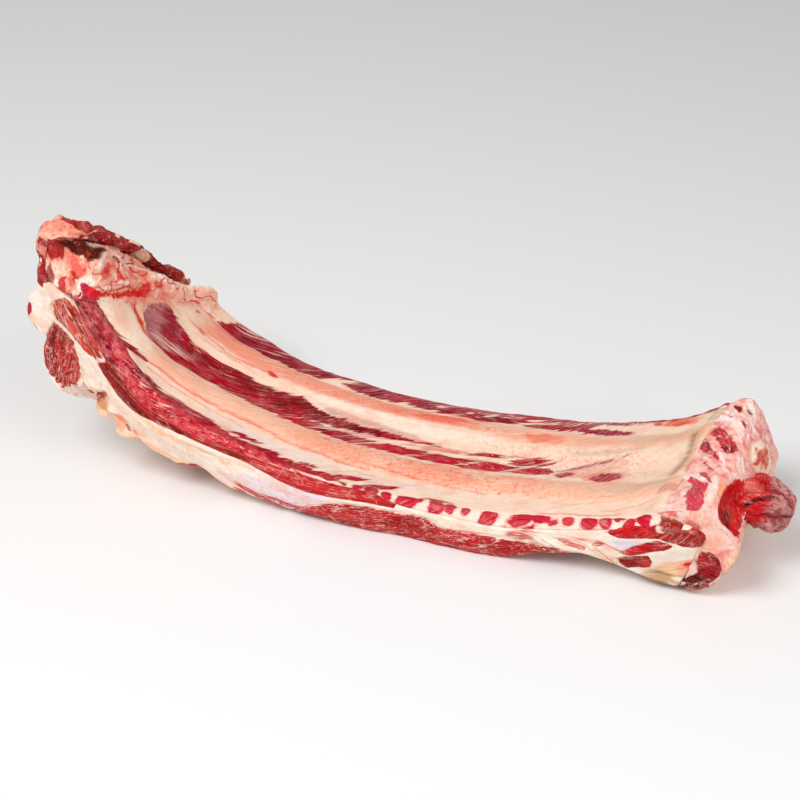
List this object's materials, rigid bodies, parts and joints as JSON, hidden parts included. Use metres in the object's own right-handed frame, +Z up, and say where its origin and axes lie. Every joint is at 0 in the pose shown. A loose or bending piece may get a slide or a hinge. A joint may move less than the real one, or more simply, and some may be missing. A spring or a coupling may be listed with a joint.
{
  "type": "raw beef rib rack",
  "caption": "Raw beef short ribs: a bent rack of long rib bones with the meat between and outside them, backbone at the raised end, lying bone side up.",
  "frame": {"origin": "on the floor plane, in the middle of the flat the rack rests on", "axes": "+X along the rack from the backbone end to the breast end, +Y across the ribs away from the shown cut side, +Z up out of the bone side"},
  "size_m": [0.5677, 0.1369, 0.2246],
  "materials": {
    "rib_front": "peach bone under a moist membrane",
    "rib_rear": "peach bone under a moist membrane",
    "intercostal_front": "moist crimson lean meat",
    "intercostal_middle": "moist crimson lean meat with pale streaks",
    "intercostal_rear": "moist crimson lean meat with pale streaks",
    "cover_muscle": "moist dark red lean meat",
    "outer_muscle": "moist red lean meat with fine marbling",
    "fat_cover": "soft cream fat",
    "breast_muscle_upper": "moist red lean meat",
    "breast_muscle_lower": "moist red lean meat",
    "breast_muscle_chunk": "moist red lean meat",
    "brisket_end": "pale cartilage and fat with pink meat patches",
    "brisket_meat": "dried purple-brown meat",
    "brisket_corner_meat": "moist dark red meat",
    "chine_bone": "pinkish white moist bone with red blotches",
    "chine_meat": "dark red meat with a few pale bits",
    "chine_fat": "soft white fat",
    "loin_muscle": "moist reddish brown meat",
    "loin_flap": "moist brown-red meat with a white tip"
  },
  "bodies": {
    "root": {"rib_front": "rib_front", "rib_rear": "rib_rear", "intercostal_front": "intercostal_front", "intercostal_middle": "intercostal_middle", "intercostal_rear": "intercostal_rear", "cover_muscle": "cover_muscle", "outer_muscle": "outer_muscle", "fat_cover": "fat_cover", "breast_muscle_upper": "breast_muscle_upper", "breast_muscle_lower": "breast_muscle_lower", "breast_muscle_chunk": "breast_muscle_chunk", "brisket_end": "brisket_end", "brisket_meat": "brisket_meat", "brisket_corner_meat": "brisket_corner_meat", "chine_bone": "chine_bone", "chine_meat": "chine_meat", "chine_fat": "chine_fat", "loin_muscle": "loin_muscle", "loin_flap": "loin_flap"}
  },
  "joints": []
}
